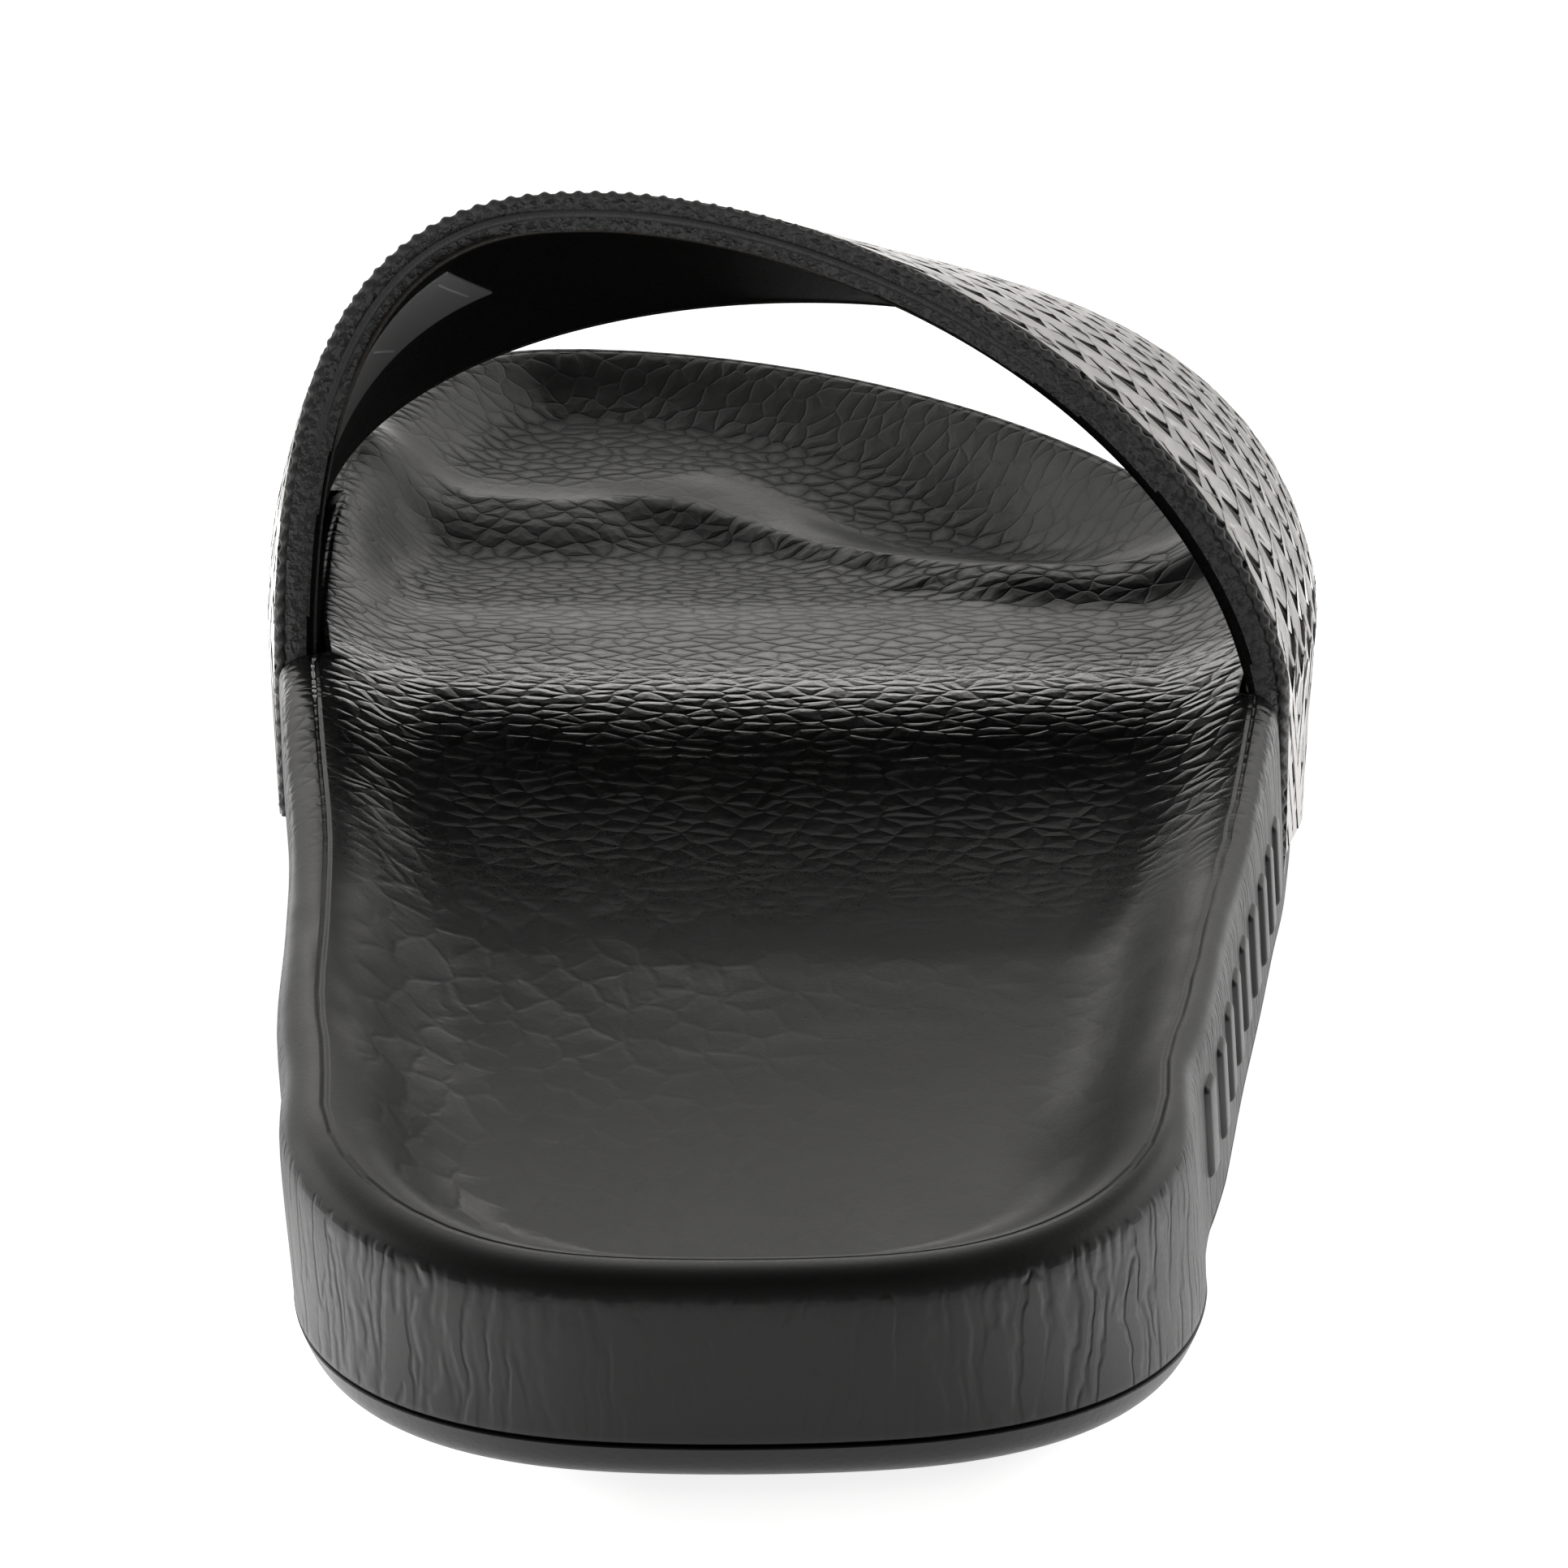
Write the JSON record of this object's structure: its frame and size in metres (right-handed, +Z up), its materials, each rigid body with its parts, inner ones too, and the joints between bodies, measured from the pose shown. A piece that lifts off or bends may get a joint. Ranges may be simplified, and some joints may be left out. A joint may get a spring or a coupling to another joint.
{
  "type": "sport slide sandal",
  "caption": "Right-foot slide sandal: moulded foam footbed with raised rim, arch and toe bar on a thin grooved outsole, under one wide curved strap open at both ends.",
  "frame": {"origin": "on the floor, below the centre of the sandal's bounding box", "axes": "+X to the outer (lateral) side, +Y from the heel to the toe, +Z up"},
  "size_m": [0.1071, 0.27, 0.0654],
  "materials": {
    "outsole_rubber": "smooth satin",
    "footbed_foam": "moulded foam with a pebbled leather grain, satin",
    "strap_band": "coated band with raised scales, semi-gloss; textile lining"
  },
  "bodies": {
    "root": {"outsole": "outsole_rubber", "footbed": "footbed_foam", "strap": "strap_band"}
  },
  "joints": []
}
